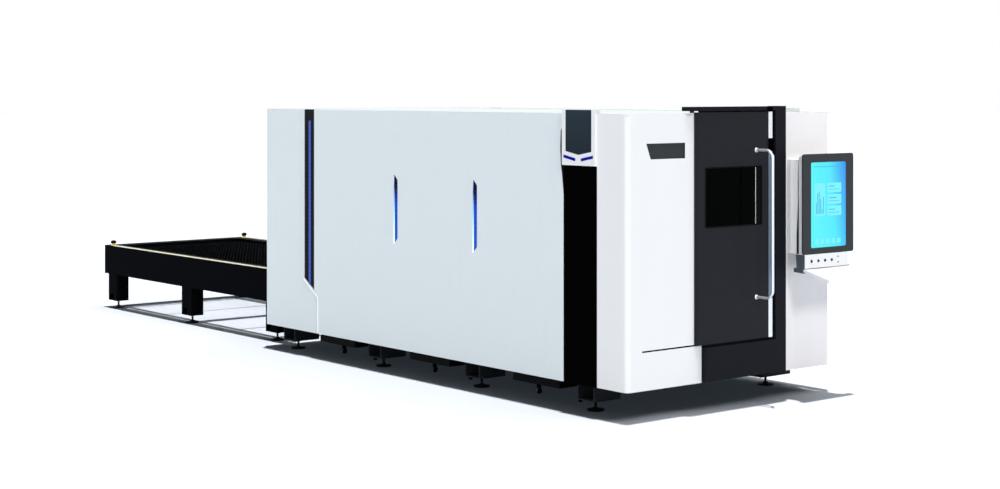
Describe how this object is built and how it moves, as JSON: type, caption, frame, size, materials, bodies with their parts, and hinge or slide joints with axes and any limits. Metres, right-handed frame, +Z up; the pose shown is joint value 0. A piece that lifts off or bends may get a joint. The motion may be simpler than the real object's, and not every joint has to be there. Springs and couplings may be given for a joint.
{
  "type": "fiber laser cutting machine",
  "caption": "Enclosed fiber laser cutting machine with a sliding door, a swing-free operator console on the front and an open two-deck shuttle table behind.",
  "frame": {"origin": "middle of the floor area that the whole machine covers, at floor height", "axes": "+X to the operator's right when facing the door, +Y from the door to the far end of the shuttle table, +Z up"},
  "size_m": [2.317, 9.265, 2.306],
  "materials": {
    "white_panel": "satin powder coat, pale grey white",
    "front_white": "satin powder coat, white",
    "black_panel": "satin black powder coat",
    "dark_door": "satin charcoal powder coat",
    "strip_grey": "matte dark grey",
    "inlay_slate": "matte slate",
    "dash_blue": "gloss deep blue",
    "light_blue": "translucent blue light cover",
    "inset_dark": "matte grey",
    "frame_black": "black paint over welded steel",
    "bed_grey": "grey machine enamel",
    "ground_steel": "ground steel",
    "zinc_steel": "zinc plated",
    "bright_bar": "brushed stainless",
    "safety_glass": "dark laser safety glass",
    "bezel_grey": "matte dark grey plastic",
    "screen_glass": "lit display behind gloss glass",
    "black_plastic": "black plastic",
    "white_plastic": "white enamel",
    "pale_tray": "pale grey enamel",
    "cream_strip": "cream wear strip",
    "head_grey": "anodised",
    "copper": "copper alloy",
    "slat_steel": "hot rolled, sooty",
    "cart_grey": "grey paint"
  },
  "bodies": {
    "machine": {"base_tubes": "frame_black", "foot_pads": "black_plastic", "levelling_screws": "zinc_steel", "machine_bed": "bed_grey", "bed_rails": "ground_steel", "bed_tracks": "bed_grey", "enclosure_frame": "bed_grey", "side_panel_left": "white_panel", "side_panel_right": "white_panel", "rear_side_panels": "white_panel", "recess_strips": "strip_grey", "light_bars": "light_blue", "pillars": "black_panel", "pillar_caps": "front_white", "cap_inlays": "inlay_slate", "cap_dashes": "dash_blue", "front_panel_left": "front_white", "front_panel_right": "front_white", "inset_plate": "inset_dark", "guide_channel": "black_panel", "door_frame": "dark_door", "header_rail": "dark_door", "rear_panel": "white_panel", "roof_panels": "white_panel", "console_mount": "white_panel", "monitor_housing": "white_plastic", "monitor_back": "bezel_grey", "monitor_bezel": "bezel_grey", "touch_screen": "screen_glass", "button_box": "white_plastic", "data_ports": "black_plastic", "tray_support": "bezel_grey", "keyboard_tray": "pale_tray", "exchange_frame": "frame_black", "beam_strips": "cream_strip", "bumpers": "black_plastic", "lift_cylinders": "ground_steel"},
    "door": {"sliding_door": "dark_door", "door_window": "safety_glass", "door_edge_strip": "bright_bar", "door_handle": "bright_bar", "door_fittings": "black_panel"},
    "gantry": {"gantry_beam": "bed_grey", "gantry_rails": "ground_steel"},
    "saddle": {"head_saddle": "head_grey"},
    "head": {"head_slide": "head_grey", "cutting_head": "head_grey", "nozzle": "copper"},
    "lift": {"lift_carrier": "frame_black"},
    "pallet_upper": {"pallet_frame_upper": "frame_black", "pallet_slats_upper": "slat_steel"},
    "pallet_lower": {"pallet_frame_lower": "frame_black", "pallet_slats_lower": "slat_steel"},
    "cart_front": {"slag_cart_1": "cart_grey"},
    "cart_middle": {"slag_cart_2": "cart_grey"},
    "cart_rear": {"slag_cart_3": "cart_grey"},
    "button_1": {"push_button_1": "black_plastic"},
    "button_2": {"push_button_2": "black_plastic"},
    "button_3": {"push_button_3": "black_plastic"},
    "button_4": {"push_button_4": "black_plastic"}
  },
  "joints": [
    {"name": "door_slide", "type": "slide", "parent": "machine", "child": "door", "axis": [-1, 0, 0], "range_m": [0, 0.52]},
    {"name": "gantry_travel", "type": "slide", "parent": "machine", "child": "gantry", "axis": [0, 1, 0], "range_m": [0, 3.45]},
    {"name": "saddle_travel", "type": "slide", "parent": "gantry", "child": "saddle", "axis": [1, 0, 0], "range_m": [-0.7, 0.7]},
    {"name": "head_lift", "type": "slide", "parent": "saddle", "child": "head", "axis": [0, 0, -1], "range_m": [0, 0.15]},
    {"name": "table_lift", "type": "slide", "parent": "machine", "child": "lift", "axis": [0, 0, -1], "range_m": [0, 0.175]},
    {"name": "pallet_upper_shuttle", "type": "slide", "parent": "lift", "child": "pallet_upper", "axis": [0, -1, 0], "range_m": [0, 4.2]},
    {"name": "pallet_lower_shuttle", "type": "slide", "parent": "machine", "child": "pallet_lower", "axis": [0, 1, 0], "range_m": [0, 4.2]},
    {"name": "slag_cart_front_roll", "type": "slide", "parent": "machine", "child": "cart_front", "axis": [-1, 0, 0], "range_m": [0, 1.4]},
    {"name": "slag_cart_middle_roll", "type": "slide", "parent": "machine", "child": "cart_middle", "axis": [-1, 0, 0], "range_m": [0, 1.4]},
    {"name": "slag_cart_rear_roll", "type": "slide", "parent": "machine", "child": "cart_rear", "axis": [-1, 0, 0], "range_m": [0, 1.4]},
    {"name": "push_button_1_press", "type": "slide", "parent": "machine", "child": "button_1", "axis": [0, 1, 0], "range_m": [0, 0.003], "stiffness_N_per_m": 800},
    {"name": "push_button_2_press", "type": "slide", "parent": "machine", "child": "button_2", "axis": [0, 1, 0], "range_m": [0, 0.003], "stiffness_N_per_m": 800},
    {"name": "push_button_3_press", "type": "slide", "parent": "machine", "child": "button_3", "axis": [0, 1, 0], "range_m": [0, 0.003], "stiffness_N_per_m": 800},
    {"name": "push_button_4_press", "type": "slide", "parent": "machine", "child": "button_4", "axis": [0, 1, 0], "range_m": [0, 0.003], "stiffness_N_per_m": 800}
  ]
}
